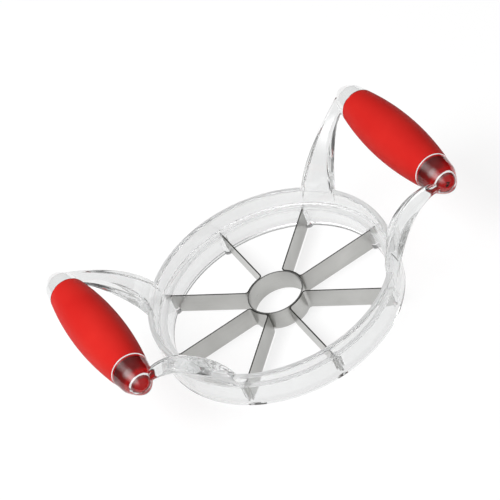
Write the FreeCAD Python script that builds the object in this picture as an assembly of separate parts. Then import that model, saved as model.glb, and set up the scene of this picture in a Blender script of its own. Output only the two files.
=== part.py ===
import FreeCAD, Part

import math
import os

# Apple slicer and corer: a clear moulded ring with two bow handles, a red soft
# sleeve round each grip bar, four V-shaped wedge blades folded from strip, and
# a corer tube in the middle.  Millimetres, +Z up, underside of the ring at z = 0,
# handles along X, grip bars parallel to Y.

V = FreeCAD.Vector
UP = V(0, 0, 1)
ORIGIN = V(0, 0, 0)

# ---- ring ----
ring_outer_r = 57.0
wall_thickness = 6.2
rim_thickness = 2.5
rim_height = 8.2
rim_round = 0.9
ledge_cover = 0.3
ledge_round = 1.0
retainer_height = 2.4
retainer_bevel = 1.1
bore_bevel = 0.4
seam_bevel = 0.3

# ---- blades and corer ----
blade_thickness = 0.6
blade_height = 10.3
blade_underside_gap = 0.2
blade_tab_length = 4.7
blade_bend_r = 1.7
cutting_bevel_height = 1.4
cutting_edge_thickness = 0.12
corer_outer_r = 12.86
corer_gap = 0.02
v_blade_names = ["v_blade_right", "v_blade_back", "v_blade_left", "v_blade_front"]
weld_mark_r = 1.1
weld_mark_depth = 0.12

# ---- blade pockets in the ring ----
pocket_side_clearance = 0.15
pocket_end_clearance = 0.4
tab_clearance = 0.2
boss_r = 2.0
boss_reach = 1.4
boss_clearance = 0.2

# ---- grips ----
grip_reach = 20.4
grip_rise = 28.7
grip_max_r = 11.3
grip_end_r = 8.45
sleeve_half_length = 31.0
cap_length = 16.0
sleeve_thickness = 2.4
sleeve_gap = 0.05
sleeve_edge_round = 0.5
cap_neck_length = 6.9
cap_neck_drop = 1.1
cap_edge_round = 5.0
cap_dome_run = 3.6
cap_dome_drop = 1.7
cap_tip_lead = 3.4

# ---- arms, one quarter (+X, +Y); the rest are mirrored ----
# The two long edges of an arm are cubic curves from a foot in the ring wall to an
# end inside the clear tip of the grip bar.  The leads are the curves' inner poles:
# the first is measured from the foot, the second from the end.
arm_outer_foot_angle = 45.4
arm_inner_foot_angle = 27.6
arm_foot_depth = 6.7
arm_outer_foot_lead = V(0.3, 0.6, 5.0)
arm_inner_foot_lead = V(0.6, -2.0, 18.4)
arm_outer_end = V(-2.8, -3.1, 2.0)
arm_inner_end = V(-0.4, -9.5, -3.4)
arm_outer_end_lead = V(-19.6, -10.3, -1.9)
arm_inner_end_lead = V(-10.5, 1.7, 6.0)
arm_thickness_poles = (3.0, 9.6, 8.6, 3.4)
arm_corner_r = 1.5
arm_stations = 11

# ---- dependent sizes ----
rim_inner_r = ring_outer_r - rim_thickness
bore_r = ring_outer_r - wall_thickness
boss_nose_r = bore_r - boss_reach
boss_centre_r = boss_nose_r + boss_r
blade_free_r = boss_nose_r - boss_clearance
blade_tab_r = blade_free_r + blade_tab_length
blade_low_z = blade_underside_gap
blade_top_z = blade_low_z + blade_height
sector_count = 2 * len(v_blade_names)
sector_angle = 360 / sector_count
blade_angles = [sector_angle * k for k in range(sector_count)]
half_blade = blade_thickness / 2
web_r = corer_outer_r + corer_gap + half_blade
pocket_top_z = blade_top_z + tab_clearance
pocket_end_r = blade_tab_r + pocket_end_clearance
pocket_width = blade_thickness + 2 * pocket_side_clearance
ledge_z = pocket_top_z + ledge_cover
ring_height = ledge_z + rim_height
grip_x = ring_outer_r + grip_reach
grip_z = ring_height + grip_rise
grip_half_length = sleeve_half_length + cap_length
core_drop = sleeve_thickness + sleeve_gap
foot_r = (ring_outer_r + rim_inner_r) / 2
foot_z = ring_height - arm_foot_depth
grip_tip = V(grip_x, grip_half_length, grip_z)


def rounded_wire(corners, place):
    """Closed wire through 2-D corners (a, b, radius); place(a, b) gives the 3-D point."""
    starts = []
    middles = []
    ends = []
    count = len(corners)
    for i in range(count):
        before = V(*corners[i - 1][:2], 0)
        here = V(*corners[i][:2], 0)
        after = V(*corners[(i + 1) % count][:2], 0)
        radius = corners[i][2]
        to_before = (before - here).normalize()
        to_after = (after - here).normalize()
        half_angle = to_before.getAngle(to_after) / 2
        reach = radius / math.tan(half_angle)
        bisector = (to_before + to_after).normalize()
        centre = here + bisector * (radius / math.sin(half_angle))
        starts.append(here + to_before * reach)
        middles.append(centre - bisector * radius)
        ends.append(here + to_after * reach)
    edges = []
    for i in range(count):
        start = place(starts[i].x, starts[i].y)
        end = place(ends[i].x, ends[i].y)
        if corners[i][2] > 0:
            middle = place(middles[i].x, middles[i].y)
            edges.append(Part.Arc(start, middle, end).toShape())
        following = place(starts[(i + 1) % count].x, starts[(i + 1) % count].y)
        edges.append(Part.makeLine(end, following))
    return Part.Wire(edges)


def turned(corners):
    """Solid of revolution about Z from corners (radius, height, corner rounding)."""
    wire = rounded_wire(corners, lambda r, z: V(r, 0, z))
    return Part.Face(wire).revolve(ORIGIN, UP, 360)


def disc(radius, low, high):
    return Part.makeCylinder(radius, high - low, V(0, 0, low))


def at_angle(shape, degrees):
    copy = shape.copy()
    copy.rotate(ORIGIN, UP, degrees)
    return copy


def boss_ring(low, high):
    """The small upright bosses that surround the blade pockets."""
    boss = Part.makeCylinder(boss_r, high - low, V(boss_centre_r, 0, low))
    return [at_angle(boss, angle) for angle in blade_angles]


def pocket(angle):
    """Void for one blade end, open towards the bore and towards the underside."""
    depth = pocket_end_r - blade_free_r + pocket_end_clearance
    box = Part.makeBox(
        depth,
        pocket_width,
        pocket_top_z,
        V(blade_free_r - pocket_end_clearance, -pocket_width / 2, 0),
    )
    return at_angle(box, angle)


def ring_body():
    """Upper ring: thin rim above, thick wall with blade pockets below the ledge."""
    body = turned([
        (bore_r, retainer_height, 0),
        (ring_outer_r - seam_bevel, retainer_height, 0),
        (ring_outer_r, retainer_height + seam_bevel, 0),
        (ring_outer_r, ring_height, rim_round),
        (rim_inner_r, ring_height, rim_round),
        (rim_inner_r, ledge_z, ledge_round),
        (bore_r, ledge_z, ledge_round),
    ])
    body = body.multiFuse(boss_ring(retainer_height, ledge_z - ledge_round)).removeSplitter()
    return body.cut(Part.makeCompound([pocket(angle) for angle in blade_angles]))


def retaining_ring():
    """Lower ring that closes the blade pockets."""
    body = turned([
        (bore_r + bore_bevel, 0, 0),
        (ring_outer_r - retainer_bevel, 0, 0),
        (ring_outer_r, retainer_bevel, 0),
        (ring_outer_r, retainer_height - seam_bevel, 0),
        (ring_outer_r - seam_bevel, retainer_height, 0),
        (bore_r, retainer_height, 0),
        (bore_r, bore_bevel, 0),
    ])
    return body.multiFuse(boss_ring(0, retainer_height)).removeSplitter()


def cubic(poles, u):
    """Point on the cubic curve with these four poles; the poles may be points or numbers."""
    w = 1 - u
    return poles[0] * w**3 + poles[1] * (3 * w * w * u) + poles[2] * (3 * w * u * u) + poles[3] * u**3


def arm_edge(foot_angle, foot_lead, end, end_lead):
    """Poles of one long edge of an arm."""
    turn = math.radians(foot_angle)
    foot = V(foot_r * math.cos(turn), foot_r * math.sin(turn), foot_z)
    tip = grip_tip + end
    return [foot, foot + foot_lead, tip + end_lead, tip]


def arm_section(outer_point, inner_point, along, thickness):
    """Rounded rectangle from the inner edge line to the outer edge line of an arm."""
    centre = (outer_point + inner_point) * 0.5
    width_dir = (outer_point - inner_point).normalize()
    thick_dir = width_dir.cross(along).normalize()
    half_width = outer_point.distanceToPoint(inner_point) / 2
    half_thick = thickness / 2
    corner = min(arm_corner_r, half_thick / 2)
    corners = [
        (-half_width, -half_thick, corner),
        (half_width, -half_thick, corner),
        (half_width, half_thick, corner),
        (-half_width, half_thick, corner),
    ]
    return rounded_wire(corners, lambda a, b: centre + width_dir * a + thick_dir * b)


def arm():
    """One arm, from its foot in the ring wall to its end inside the grip bar."""
    outer_edge = arm_edge(arm_outer_foot_angle, arm_outer_foot_lead, arm_outer_end, arm_outer_end_lead)
    inner_edge = arm_edge(arm_inner_foot_angle, arm_inner_foot_lead, arm_inner_end, arm_inner_end_lead)
    middle = [(a + b) * 0.5 for a, b in zip(outer_edge, inner_edge)]
    steps = [following - here for here, following in zip(middle, middle[1:])]
    sections = []
    for i in range(arm_stations):
        u = i / (arm_stations - 1)
        along = steps[0] * (1 - u) ** 2 + steps[1] * (2 * u * (1 - u)) + steps[2] * u**2
        thickness = cubic(arm_thickness_poles, u)
        sections.append(arm_section(cubic(outer_edge, u), cubic(inner_edge, u), along, thickness))
    return Part.makeLoft(sections, True, False)


def four_ways(shape):
    """The shape and its mirror images in X, in Y and in both."""
    across_x = shape.mirror(ORIGIN, V(1, 0, 0))
    across_y = shape.mirror(ORIGIN, V(0, 1, 0))
    return [shape, across_x, across_y, across_x.mirror(ORIGIN, V(0, 1, 0))]


def grip_point(y, r):
    return V(grip_x + r, y, grip_z)


def barrel_curve(drop, half_length):
    """Parabolic barrel line at a depth below the grip surface, from -Y to +Y."""
    sag = (grip_max_r - grip_end_r) * (half_length / sleeve_half_length) ** 2
    end_r = grip_max_r - sag - drop
    curve = Part.BezierCurve()
    curve.setPoles([
        grip_point(-half_length, end_r),
        grip_point(0, end_r + 2 * sag),
        grip_point(half_length, end_r),
    ])
    return curve.toShape()


def turn_about_grip(edges):
    face = Part.Face(Part.Wire(edges))
    return face.revolve(V(grip_x, 0, grip_z), V(0, 1, 0), 360)


def rings_at(solid, reach, radius):
    """The circular edges of a turned grip solid at this distance along Y, both ways."""
    rings = []
    for edge in solid.Edges:
        if edge.Degenerated or not isinstance(edge.Curve, Part.Circle):
            continue
        reach_error = abs(abs(edge.Curve.Center.y) - reach)
        radius_error = abs(edge.Curve.Radius - radius)
        if max(reach_error, radius_error) < sleeve_gap:
            rings.append(edge)
    return rings


def grip_bar():
    """Clear bar under the sleeve with its clear ends: a shoulder, a tapering neck,
    a rounded edge and a dome, turned as one piece."""
    shoulder_y = sleeve_half_length + sleeve_gap
    core = barrel_curve(core_drop, shoulder_y)
    core_end_r = core.Vertexes[0].X - grip_x
    neck_end_y = shoulder_y + cap_neck_length
    neck_end_r = grip_end_r - cap_neck_drop
    edges = [core]
    for side in (1, -1):
        dome = Part.BezierCurve()
        dome.setPoles([
            grip_point(side * neck_end_y, neck_end_r),
            grip_point(side * (neck_end_y + cap_dome_run), neck_end_r - cap_dome_drop),
            grip_point(side * grip_half_length, cap_tip_lead),
            grip_point(side * grip_half_length, 0),
        ])
        corners = [
            grip_point(side * shoulder_y, core_end_r),
            grip_point(side * shoulder_y, grip_end_r),
            grip_point(side * neck_end_y, neck_end_r),
        ]
        for here, following in zip(corners, corners[1:]):
            edges.append(Part.makeLine(here, following))
        edges.append(dome.toShape())
    edges.append(Part.makeLine(grip_point(grip_half_length, 0), grip_point(-grip_half_length, 0)))
    bar = turn_about_grip(Part.__sortEdges__(edges))
    return bar.makeFillet(cap_edge_round, rings_at(bar, neck_end_y, neck_end_r))


def grip_sleeve():
    """Soft sleeve: barrel outside, even wall thickness, rounded outer ends."""
    outer = barrel_curve(0, sleeve_half_length)
    inner = barrel_curve(sleeve_thickness, sleeve_half_length)
    edges = [outer, inner]
    for end in (0, 1):
        edges.append(Part.makeLine(outer.Vertexes[end].Point, inner.Vertexes[end].Point))
    sleeve = turn_about_grip(Part.__sortEdges__(edges))
    return sleeve.makeFillet(sleeve_edge_round, rings_at(sleeve, sleeve_half_length, grip_end_r))


def clear_frame():
    """Ring, arms and grip bars as one moulding; the arms end flush with the rim's inside."""
    bore = disc(rim_inner_r, ledge_z, grip_z)
    arms = [one.cut(bore) for one in four_ways(arm())]
    bar = grip_bar()
    bars = [bar, bar.mirror(ORIGIN, V(1, 0, 0))]
    return ring_body().multiFuse(arms + bars)


def strip_path(offset):
    """Edges of one V strip, shifted sideways from its middle line towards the V's inside."""
    bend_r = blade_bend_r - offset
    line_shift = offset - half_blade
    centre_r = web_r + blade_bend_r
    centre_shift = blade_bend_r - half_blade
    bend_angle = math.asin(centre_shift / centre_r)
    bend_x = centre_r * math.cos(bend_angle)
    near_r = web_r + offset
    bend_centre = V(bend_x, centre_shift, 0)
    line_out = V(blade_tab_r, line_shift, 0)
    line_in = V(bend_x, line_shift, 0)
    on_web = V(near_r * math.cos(bend_angle), near_r * math.sin(bend_angle), 0)
    towards_mid = ((line_in - bend_centre).normalize() + (on_web - bend_centre).normalize()).normalize()
    on_bend = bend_centre + towards_mid * bend_r
    half_sector = math.radians(sector_angle / 2)
    web_mid = V(near_r * math.cos(half_sector), near_r * math.sin(half_sector), 0)

    def flip(point):
        turn = 2 * half_sector - math.atan2(point.y, point.x)
        length = math.hypot(point.x, point.y)
        return V(length * math.cos(turn), length * math.sin(turn), 0)

    return [
        Part.makeLine(line_out, line_in),
        Part.Arc(line_in, on_bend, on_web).toShape(),
        Part.Arc(on_web, web_mid, flip(on_web)).toShape(),
        Part.Arc(flip(on_web), flip(on_bend), flip(line_in)).toShape(),
        Part.makeLine(flip(line_in), flip(line_out)),
    ]


def strip_layer(low_offset, high_offset, z):
    """Closed outline of the strip between two sideways offsets at height z."""
    first = strip_path(low_offset)
    second = strip_path(high_offset)
    ends = [
        Part.makeLine(first[0].Vertexes[0].Point, second[0].Vertexes[0].Point),
        Part.makeLine(first[-1].Vertexes[-1].Point, second[-1].Vertexes[-1].Point),
    ]
    wire = Part.Wire(Part.__sortEdges__(first + second + ends))
    wire.translate(V(0, 0, z))
    return wire


def v_blade():
    """Strip folded into a V round the corer, with a ground lower edge and end tabs."""
    bevel_top = blade_low_z + cutting_bevel_height
    upper = Part.Face(strip_layer(-half_blade, half_blade, bevel_top)).extrude(UP * (blade_top_z - bevel_top))
    half_edge = cutting_edge_thickness / 2
    edge_wire = strip_layer(-half_edge, half_edge, blade_low_z)
    top_wire = strip_layer(-half_blade, half_blade, bevel_top)
    lower = Part.makeLoft([edge_wire, top_wire], True, True)
    strip = upper.fuse(lower).removeSplitter()
    tab_low = retainer_height + tab_clearance
    below_tab = disc(ring_outer_r, 0, tab_low).cut(disc(blade_free_r, 0, tab_low))
    strip = strip.cut(below_tab)
    ball_r = (weld_mark_r**2 + weld_mark_depth**2) / (2 * weld_mark_depth)
    ball_centre_r = web_r + half_blade - weld_mark_depth + ball_r
    ball = Part.makeSphere(ball_r, V(ball_centre_r, 0, (blade_low_z + blade_top_z) / 2))
    return strip.cut(at_angle(ball, sector_angle / 2))


def corer_tube():
    """Thin tube, ground on the outside of its lower edge."""
    inner_r = corer_outer_r - blade_thickness
    return turned([
        (inner_r, blade_low_z, 0),
        (inner_r + cutting_edge_thickness, blade_low_z, 0),
        (corer_outer_r, blade_low_z + cutting_bevel_height, 0),
        (corer_outer_r, blade_top_z, 0),
        (inner_r, blade_top_z, 0),
    ])


blade = v_blade()
sleeve = grip_sleeve()
parts = {
    "clear_frame": clear_frame(),
    "blade_retaining_ring": retaining_ring(),
    "corer_tube": corer_tube(),
    "right_grip_sleeve": sleeve,
    "left_grip_sleeve": sleeve.mirror(ORIGIN, V(1, 0, 0)),
}
for k, blade_name in enumerate(v_blade_names):
    parts[blade_name] = at_angle(blade, 2 * sector_angle * k)

os.makedirs("parts", exist_ok=True)
for name, shape in parts.items():
    if not shape.isValid() or len(shape.Solids) != 1:
        raise ValueError(f"{name} is not one valid solid")
    shape.exportStep(f"parts/{name}.step")
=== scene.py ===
import bpy
from mathutils import Matrix, Vector


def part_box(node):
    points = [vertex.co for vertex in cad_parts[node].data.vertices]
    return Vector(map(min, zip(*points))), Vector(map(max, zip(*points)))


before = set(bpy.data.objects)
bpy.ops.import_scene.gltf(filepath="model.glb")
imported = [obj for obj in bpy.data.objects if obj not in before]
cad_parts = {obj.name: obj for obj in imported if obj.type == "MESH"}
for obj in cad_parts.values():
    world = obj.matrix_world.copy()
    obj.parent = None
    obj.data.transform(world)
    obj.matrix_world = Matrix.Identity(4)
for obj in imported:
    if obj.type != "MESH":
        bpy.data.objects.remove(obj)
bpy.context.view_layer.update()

# Lengths are in metres, as in the frame.
MM = 0.001
WHITE = (1, 1, 1, 1)

# ---- camera ----
CAMERA_PLACE = (-0.1655, -0.7147, 0.6772)
CAMERA_RIGHT = (0.8246, -0.4696, -0.3154)
CAMERA_UP = (0.5402, 0.4883, 0.6854)
FOCAL_LENGTH_PX = 2243.4
IMAGE_SIZE_PX = 500
SENSOR_WIDTH = 36.0
NEAREST_SEEN = 10 * MM

# ---- clear plastic ----
PLASTIC_IOR = 1.53
PLASTIC_TINTS = [(0.0, (0.86, 0.865, 0.865, 1)), (1.0, (0.92, 0.925, 0.925, 1))]
SOFT_EDGE_TINT = (0.80, 0.805, 0.805, 1)
LOWER_RING_TINT = (0.95, 0.955, 0.955, 1)
BOND_RED = (0.80, 0.003, 0.004, 1)
DEPTH_TINT = (0.80, 0.82, 0.82, 1)
DEPTH_DENSITY = 12.0
PLASTIC_ROUGHNESS = (0.01, 0.04)
SOFT_EDGE_ROUGHNESS = 0.30
SCUFF_DEPTH = 0.004 * MM
RIPPLE_DEPTH = 0.10 * MM

# the ring is a little milky up to near its top, and the arms above it are clear
MILKY_UP_TO = 17.0 * MM
CLEAR_FROM = 24.0 * MM

# each pair is for clear plastic, then for milky plastic
CLEARNESS = (0.99, 0.88)
SCUFF_STRENGTH = (0.5, 0.1)
RIPPLE_STRENGTH = (0.6, 0.1)

# the red rubber is bonded to the grip bars, which are slimmer at the sleeves' ends
BOND_RADIUS = 9.0 * MM
BOND_END_RADIUS = 7.5 * MM
BOND_MARGIN = 0.1 * MM

# the rings are welded together, apart from the groove at the outside that shows as a line
WELD_MARGIN = 0.02 * MM
SEAM_GROOVE = 0.35 * MM

# softly moulded edges of the ring: top of the rim, lip of the ledge, foot
RIM_TOP = 19.2 * MM
RIM_EDGE_FROM = RIM_TOP - 1.2 * MM
RIM_EDGE_FULL = RIM_TOP - 0.6 * MM
LIP_RADIUS = 51.5 * MM
LIP_HALF_WIDTH = 0.9 * MM
LIP_HEIGHT = 10.6 * MM
LIP_HALF_HEIGHT = 0.7 * MM
FOOT_FROM = 0.05 * MM
FOOT_FULL = 0.7 * MM
FOOT_HEIGHT = 1.4 * MM

# a ray in the ring goes straight on past this many reflections, or turns of any kind
DEEPEST_REFLECTION = 2.5
DEEPEST_RAY = 8.5
LOST_RAY_TINT = (0.92, 0.92, 0.92, 1)

# ---- steel ----
STEEL_TONES = [(0.30, (0.40, 0.40, 0.385, 1)), (0.72, (0.56, 0.56, 0.545, 1))]
STEEL_ROUGHNESS = (0.22, 0.38)
GRAIN_SHARE = 0.35
GRAIN_DEPTH = 0.006 * MM

# a face that looks up or down by more than this is an edge sheared from the sheet, which is rougher and
# gets a painted dark reflection
SHEARED_EDGE_TILT = 0.9
# painted dark reflection: colours for the up- and down-facing sheared edges of the blades and the corer
BLADE_EDGE_PAINTED_DARK = (0.10, 0.10, 0.095, 1)
CORER_EDGE_PAINTED_DARK = (0.32, 0.32, 0.31, 1)
SHEARED_ROUGHNESS = 0.2

# ---- red rubber ----
RUBBER_TONES = [(0.30, (0.48, 0.012, 0.010, 1)), (0.70, (0.56, 0.022, 0.016, 1))]
RUBBER_ROUGHNESS = (0.50, 0.70)
RUBBER_SPECULAR = 0.12
SPECKLE_SHARE = 0.25
SPECKLE_DEPTH = 0.02 * MM

# ---- floor ----
FLOOR_SIZE = 1.2
FLOOR_GAP = 0.4 * MM
FLOOR_TINT = (0.90, 0.90, 0.90, 1)

# how white the floor looks near the object, and how far out it becomes all white
FLOOR_GLOW = 0.80
FLOOR_FADE_FROM = 0.30
FLOOR_FADE_TO = 0.55

# ---- studio ----
# tones of the walls by height: 0.5 is the horizon and 1 is straight up
WALL_TONES = [(0.66, (0.02, 0.02, 0.02, 1)), (0.76, (0.55, 0.55, 0.55, 1)), (0.86, WHITE)]

# how bright the walls are for the light that they give, and in reflections
WORLD_DIFFUSE = 0.46
MIRRORED_SHARE = 0.25

# soft patch in the key lamp's place, which only reflections see
SOFTBOX_STRENGTH = 7.0
SOFTBOX_EDGE = 0.72
SOFTBOX_FALLOFF = 2.0

# lamps: place and size in metres, power in watts
KEY_LIGHT = {"place": (-0.75, 0.05, 1.15), "size": 0.8, "power": 20.0}
FILL_LIGHT = {"place": (0.1, -1.1, 0.9), "size": 1.1, "power": 4.5}


class Graph:
    """A material or world node tree, built from short calls."""

    def __init__(self, owner):
        owner.use_nodes = True
        self.tree = owner.node_tree
        self.tree.nodes.clear()

    def add(self, kind, settings=None, **inputs):
        """New node; an underscore in an input's name stands for a space."""
        node = self.tree.nodes.new(kind)
        for name, value in (settings or {}).items():
            setattr(node, name, value)
        for name, value in inputs.items():
            self.feed(node, name.replace("_", " "), value)
        return node

    def feed(self, node, name, value):
        """Link or set an input, which is named or given by its number as text."""
        socket = node.inputs[int(name)] if name.isdigit() else node.inputs[name]
        if isinstance(value, bpy.types.NodeSocket):
            self.tree.links.new(value, socket)
        else:
            socket.default_value = value

    def math(self, operation, first, second=0.5):
        node = self.add("ShaderNodeMath", {"operation": operation})
        self.feed(node, "0", first)
        self.feed(node, "1", second)
        return node.outputs[0]

    def noise(self, where, scale, detail=3.0, roughness=0.5):
        node = self.add("ShaderNodeTexNoise", Vector=where, Scale=scale, Detail=detail, Roughness=roughness)
        return node.outputs[0]

    def stretch(self, where, scale):
        node = self.add("ShaderNodeMapping", Vector=where, Scale=scale)
        return node.outputs[0]

    def span(self, value, low, high, start=0.0, end=1.0):
        """value from start..end to low..high, held at low and high beyond."""
        node = self.add("ShaderNodeMapRange")
        self.feed(node, "Value", value)
        node.inputs["From Min"].default_value = start
        node.inputs["From Max"].default_value = end
        node.inputs["To Min"].default_value = low
        node.inputs["To Max"].default_value = high
        return node.outputs[0]

    def ramp(self, value, stops):
        node = self.add("ShaderNodeValToRGB", Fac=value)
        elements = node.color_ramp.elements
        while len(elements) < len(stops):
            elements.new(0.5)
        for element, (place, colour) in zip(elements, stops):
            element.position = place
            element.color = colour
        return node.outputs[0]

    def blend(self, share, first, second):
        """Colour that is first where share is 0 and second where it is 1."""
        node = self.add("ShaderNodeMix", {"data_type": "RGBA"})
        self.feed(node, "0", share)
        self.feed(node, "6", first)
        self.feed(node, "7", second)
        return node.outputs[2]

    def bump(self, height, distance, strength, normal=None):
        node = self.add("ShaderNodeBump", Height=height, Distance=distance, Strength=strength)
        if normal is not None:
            self.feed(node, "Normal", normal)
        return node.outputs[0]

    def split(self, vector):
        """The X, Y and Z of a vector."""
        return self.add("ShaderNodeSeparateXYZ", Vector=vector).outputs

    def ray(self):
        """What is known of the ray that arrives."""
        return self.add("ShaderNodeLightPath").outputs

    def mix(self, share, first, second):
        """Shader that is first where share is 0 and second where it is 1."""
        node = self.add("ShaderNodeMixShader", Fac=share)
        self.feed(node, "1", first.outputs[0])
        self.feed(node, "2", second.outputs[0])
        return node


def new_material(name):
    material = bpy.data.materials.new(name)
    return material, Graph(material)


def place_of(g):
    """Where a point is on its object, in metres. The CAD nodes sit at the frame's origin."""
    return g.add("ShaderNodeTexCoord").outputs["Object"]


def within(g, value, middle, half_width):
    """1 where value is nearer to middle than half_width, 0 elsewhere."""
    return g.math("LESS_THAN", g.math("ABSOLUTE", g.math("SUBTRACT", value, middle)), half_width)


def distance(g, across, up):
    """Length of a straight line that goes this far across and this far up."""
    return g.math("SQRT", g.math("ADD", g.math("POWER", across, 2.0), g.math("POWER", up, 2.0)))


def from_axis(g, spot):
    """Distance from the ring's axis."""
    return distance(g, spot["X"], spot["Y"])


def fine_and_coarse(g, fine, coarse, fine_share):
    """Two noises added up: fine_share of the fine one, the rest of the coarse one."""
    return g.math("ADD", g.math("MULTIPLY", fine, fine_share), g.math("MULTIPLY", coarse, 1 - fine_share))


def under_the_sleeves(g, spot):
    """1 on the grip bars where the red rubber is bonded to them, 0 elsewhere."""
    low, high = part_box("right_grip_sleeve")
    grip = (low + high) / 2
    across = g.math("SUBTRACT", g.math("ABSOLUTE", spot["X"]), grip.x)
    rise = g.math("SUBTRACT", spot["Z"], grip.z)
    reach = g.math("ABSOLUTE", spot["Y"])
    past_the_end = g.math("GREATER_THAN", reach, high.y)
    radius = g.span(past_the_end, BOND_RADIUS, BOND_END_RADIUS)
    near = g.math("LESS_THAN", distance(g, across, rise), radius)
    return g.math("MULTIPLY", near, g.math("LESS_THAN", reach, high.y + BOND_MARGIN))


def on_the_weld(g, spot):
    """1 on the faces where the lower ring is welded to the upper one, 0 elsewhere."""
    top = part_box("blade_retaining_ring")[1]
    inside = g.math("LESS_THAN", from_axis(g, spot), top.x - SEAM_GROOVE)
    return g.math("MULTIPLY", inside, within(g, spot["Z"], top.z, WELD_MARGIN))


def soft_edges(g, spot):
    """1 on the ring's rounded top, its ledge's lip and its foot; top and foot fade to 0."""
    ring_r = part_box("blade_retaining_ring")[1].x
    radius = from_axis(g, spot)
    height = spot["Z"]
    on_ring = g.math("LESS_THAN", radius, ring_r + WELD_MARGIN)
    near_top = g.span(height, 0.0, 1.0, RIM_EDGE_FROM, RIM_EDGE_FULL)
    top = g.math("MULTIPLY", near_top, g.math("LESS_THAN", height, RIM_TOP + WELD_MARGIN))
    across_lip = within(g, radius, LIP_RADIUS, LIP_HALF_WIDTH)
    lip = g.math("MULTIPLY", across_lip, within(g, height, LIP_HEIGHT, LIP_HALF_HEIGHT))
    near_foot = g.span(height, 1.0, 0.0, FOOT_FULL, FOOT_HEIGHT)
    foot = g.math("MULTIPLY", g.math("GREATER_THAN", height, FOOT_FROM), near_foot)
    return g.math("MULTIPLY", on_ring, g.math("MAXIMUM", foot, g.math("MAXIMUM", top, lip)))


def moulded_bump(g, where, milky):
    """Soft ripples of the moulding with fine scuffs on them."""
    ripple = g.noise(where, scale=55.0, detail=2.0)
    scuff = g.noise(g.stretch(where, scale=(900.0, 240.0, 240.0)), scale=1.0, detail=5.0, roughness=0.7)
    rippled = g.bump(ripple, RIPPLE_DEPTH, g.span(milky, *RIPPLE_STRENGTH))
    return g.bump(scuff, SCUFF_DEPTH, g.span(milky, *SCUFF_STRENGTH), rippled)


def going_straight_on(g, low_down):
    """1 for shadow rays, and for rays that have turned too often in the ring."""
    ray = g.ray()
    many_mirrors = g.math("GREATER_THAN", ray["Glossy Depth"], DEEPEST_REFLECTION)
    many_turns = g.math("GREATER_THAN", ray["Ray Depth"], DEEPEST_RAY)
    lost = g.math("MULTIPLY", g.math("MAXIMUM", many_mirrors, many_turns), low_down)
    return g.math("MAXIMUM", ray["Is Shadow Ray"], lost)


def clear_plastic():
    """Clear plastic, red where the rubber is bonded to it and unseen where it is welded."""
    material, g = new_material("clear_plastic_moulded")
    where = place_of(g)
    spot = g.split(where)
    bonded = under_the_sleeves(g, spot)
    welded = on_the_weld(g, spot)
    edge = soft_edges(g, spot)
    haze = g.noise(where, scale=210.0, detail=4.0, roughness=0.65)
    above_weld = g.math("GREATER_THAN", spot["Z"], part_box("blade_retaining_ring")[1].z)
    low_down = g.span(spot["Z"], 1.0, 0.0, MILKY_UP_TO, CLEAR_FROM)
    milky = g.math("MULTIPLY", low_down, above_weld)
    tint = g.ramp(haze, PLASTIC_TINTS)
    tint = g.blend(edge, tint, SOFT_EDGE_TINT)
    tint = g.blend(above_weld, LOWER_RING_TINT, tint)
    see_through = g.blend(welded, tint, WHITE)
    clearness = g.math("MAXIMUM", welded, g.span(milky, *CLEARNESS))
    roughness = g.math("ADD", g.span(haze, *PLASTIC_ROUGHNESS), g.span(edge, 0.0, SOFT_EDGE_ROUGHNESS))
    shader = g.add(
        "ShaderNodeBsdfPrincipled",
        Base_Color=g.blend(bonded, see_through, BOND_RED),
        IOR=g.span(welded, PLASTIC_IOR, 1.0),
        Roughness=g.math("MULTIPLY", roughness, g.span(welded, 1.0, 0.0)),
        Normal=moulded_bump(g, where, milky),
        Transmission_Weight=g.math("MULTIPLY", clearness, g.span(bonded, 1.0, 0.0)),
        Specular_IOR_Level=g.span(bonded, 0.5, 0.0),
    )
    nothing = g.add("ShaderNodeBsdfTransparent", Color=LOST_RAY_TINT)
    surface = g.mix(going_straight_on(g, low_down), shader, nothing)
    absorb = g.add("ShaderNodeVolumeAbsorption", Color=DEPTH_TINT, Density=DEPTH_DENSITY)
    g.add("ShaderNodeOutputMaterial", Surface=surface.outputs[0], Volume=absorb.outputs[0])
    return material


def brushed_steel():
    """Steel brushed along the blades; the edges sheared from the sheet are duller and carry a painted dark
    reflection.
    """
    material, g = new_material("brushed_blade_steel")
    where = place_of(g)
    grain = g.noise(g.stretch(where, scale=(60.0, 60.0, 5200.0)), scale=1.0, detail=6.0, roughness=0.7)
    cloud = g.noise(where, scale=46.0)
    polished = g.ramp(fine_and_coarse(g, grain, cloud, GRAIN_SHARE), STEEL_TONES)
    facing = g.split(g.add("ShaderNodeTexCoord").outputs["Normal"])
    # faces that look up or down: sheared edges that are rougher, and darkened with a painted dark
    # reflection
    cut_edge_painted_dark = g.math("GREATER_THAN", g.math("ABSOLUTE", facing["Z"]), SHEARED_EDGE_TILT)
    spot = g.split(where)
    on_corer = g.math("LESS_THAN", from_axis(g, spot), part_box("corer_tube")[1].x)
    # painted dark reflection colour, darker on the blades than on the corer
    edge_painted_dark = g.blend(on_corer, BLADE_EDGE_PAINTED_DARK, CORER_EDGE_PAINTED_DARK)
    rougher = g.math("MULTIPLY", cut_edge_painted_dark, SHEARED_ROUGHNESS)
    shader = g.add(
        "ShaderNodeBsdfPrincipled",
        Base_Color=g.blend(cut_edge_painted_dark, polished, edge_painted_dark),
        Metallic=1.0,
        Roughness=g.math("ADD", g.span(grain, *STEEL_ROUGHNESS), rougher),
        Normal=g.bump(grain, GRAIN_DEPTH, strength=0.6),
    )
    g.add("ShaderNodeOutputMaterial", Surface=shader.outputs[0])
    return material


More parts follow.
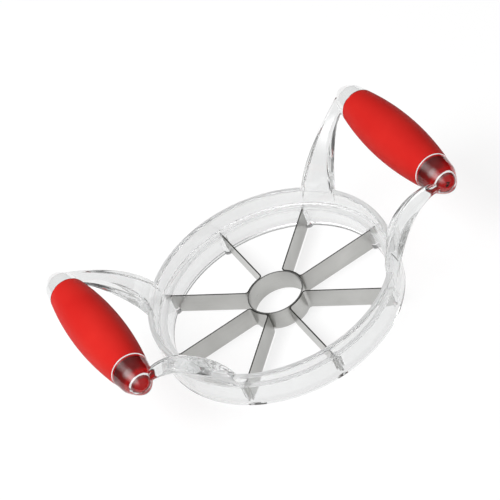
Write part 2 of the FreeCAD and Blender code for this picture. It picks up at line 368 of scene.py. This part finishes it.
def soft_red():
    """Matte red rubber with a fine speckle."""
    material, g = new_material("red_soft_grip_rubber")
    where = place_of(g)
    speckle = g.noise(where, scale=2600.0, detail=4.0, roughness=0.6)
    cloud = g.noise(where, scale=34.0)
    shader = g.add(
        "ShaderNodeBsdfPrincipled",
        Base_Color=g.ramp(fine_and_coarse(g, speckle, cloud, SPECKLE_SHARE), RUBBER_TONES),
        Roughness=g.span(speckle, *RUBBER_ROUGHNESS),
        Normal=g.bump(speckle, SPECKLE_DEPTH, strength=0.5),
        Specular_IOR_Level=RUBBER_SPECULAR,
    )
    g.add("ShaderNodeOutputMaterial", Surface=shader.outputs[0])
    return material


def seen_directly(g):
    """1 for camera, glossy and transmitted rays, 0 for the rays that light the object."""
    ray = g.ray()
    either = g.math("MAXIMUM", ray["Is Camera Ray"], ray["Is Glossy Ray"])
    return g.math("MAXIMUM", either, ray["Is Transmission Ray"])


def mirrored(g):
    """1 for rays reflected from a surface, 0 for the ones that came through it."""
    ray = g.ray()
    not_through = g.math("SUBTRACT", 1.0, ray["Is Transmission Ray"])
    return g.math("MULTIPLY", ray["Is Glossy Ray"], not_through)


def floor():
    """Pale floor that takes the shadow and fades to white before its edge."""
    half = FLOOR_SIZE / 2
    mesh = bpy.data.meshes.new("floor")
    corners = [(-half, -half, 0), (half, -half, 0), (half, half, 0), (-half, half, 0)]
    mesh.from_pydata(corners, [], [(0, 1, 2, 3)])
    plane = bpy.data.objects.new("floor", mesh)
    plane.location.z = -FLOOR_GAP
    bpy.context.scene.collection.objects.link(plane)
    material, g = new_material("pale_floor")
    matte = g.add("ShaderNodeBsdfDiffuse", Color=FLOOR_TINT)
    glow = g.add("ShaderNodeEmission", Color=WHITE, Strength=1.0)
    refracted = g.ray()["Is Transmission Ray"]
    fade = g.span(from_axis(g, g.split(place_of(g))), 0.0, 1.0, FLOOR_FADE_FROM, FLOOR_FADE_TO)
    whiteness = g.math("MAXIMUM", fade, g.span(refracted, FLOOR_GLOW, 1.0))
    surface = g.mix(g.math("MULTIPLY", seen_directly(g), whiteness), matte, glow)
    g.add("ShaderNodeOutputMaterial", Surface=surface.outputs[0])
    mesh.materials.append(material)


def softbox(g, outwards):
    """Brightness of the soft patch, brightest straight towards the key lamp."""
    towards_key = g.add("ShaderNodeVectorMath", {"operation": "DOT_PRODUCT"})
    g.feed(towards_key, "0", outwards)
    g.feed(towards_key, "1", Vector(KEY_LIGHT["place"]).normalized())
    patch = g.span(towards_key.outputs["Value"], 0.0, 1.0, SOFTBOX_EDGE, 1.0)
    brightness = g.math("MULTIPLY", g.math("POWER", patch, SOFTBOX_FALLOFF), SOFTBOX_STRENGTH)
    return g.math("MULTIPLY", brightness, mirrored(g))


def studio():
    """World: white to the camera, and to all else dark at the horizon and white overhead."""
    world = bpy.data.worlds.new("studio")
    bpy.context.scene.world = world
    g = Graph(world)
    outwards = g.add("ShaderNodeTexCoord").outputs["Generated"]
    along = g.split(outwards)
    walls = g.ramp(g.span(along["Z"], 0.5, 1.0), WALL_TONES)
    patches = g.noise(g.stretch(outwards, scale=(1.0, 1.0, 0.3)), scale=1.6, detail=1.0)
    uneven = g.span(patches, low=0.45, high=1.0, start=0.35, end=0.60)
    darker_sides = g.span(g.math("ABSOLUTE", along["X"]), low=1.0, high=0.75, start=0.35, end=0.85)
    uneven = g.math("MULTIPLY", uneven, darker_sides)
    dim = g.math("MULTIPLY", uneven, g.span(mirrored(g), 1.0, MIRRORED_SHARE))
    soft = g.add("ShaderNodeBackground", Color=walls, Strength=WORLD_DIFFUSE)
    around = g.add("ShaderNodeBackground", Color=walls, Strength=g.math("ADD", dim, softbox(g, outwards)))
    white = g.add("ShaderNodeBackground", Color=WHITE, Strength=1.0)
    ray = g.ray()
    glossy_or_through = g.math("MAXIMUM", ray["Is Glossy Ray"], ray["Is Transmission Ray"])
    without_camera = g.mix(glossy_or_through, soft, around)
    whole = g.mix(ray["Is Camera Ray"], without_camera, white)
    g.add("ShaderNodeOutputWorld", Surface=whole.outputs[0])


def soft_light(name, place, size, power):
    """Square lamp that lights the object and isn't seen in reflections or through plastic."""
    lamp = bpy.data.lights.new(name, "AREA")
    lamp.shape = "SQUARE"
    lamp.size = size
    lamp.energy = power
    holder = bpy.data.objects.new(name, lamp)
    holder.visible_glossy = False
    holder.visible_transmission = False
    holder.location = place
    holder.rotation_euler = (-Vector(place)).to_track_quat("-Z", "Y").to_euler()
    bpy.context.scene.collection.objects.link(holder)


def camera():
    lens = bpy.data.cameras.new("camera")
    lens.sensor_width = SENSOR_WIDTH
    lens.lens = SENSOR_WIDTH * FOCAL_LENGTH_PX / IMAGE_SIZE_PX
    lens.clip_start = NEAREST_SEEN
    holder = bpy.data.objects.new("camera", lens)
    right = Vector(CAMERA_RIGHT).normalized()
    back = right.cross(Vector(CAMERA_UP)).normalized()
    up = back.cross(right)
    turn = Matrix((right, up, back)).transposed().to_4x4()
    holder.matrix_world = Matrix.Translation(CAMERA_PLACE) @ turn
    bpy.context.scene.collection.objects.link(holder)
    bpy.context.scene.camera = holder


FINISHES = {
    clear_plastic: ["clear_frame", "blade_retaining_ring"],
    brushed_steel: ["corer_tube", "v_blade_right", "v_blade_back", "v_blade_left", "v_blade_front"],
    soft_red: ["right_grip_sleeve", "left_grip_sleeve"],
}

for make, names in FINISHES.items():
    material = make()
    for name in names:
        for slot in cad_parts[name].material_slots:
            slot.material = material

camera()
floor()
studio()
soft_light("key", **KEY_LIGHT)
soft_light("fill", **FILL_LIGHT)
bpy.context.scene.view_settings.view_transform = "Standard"
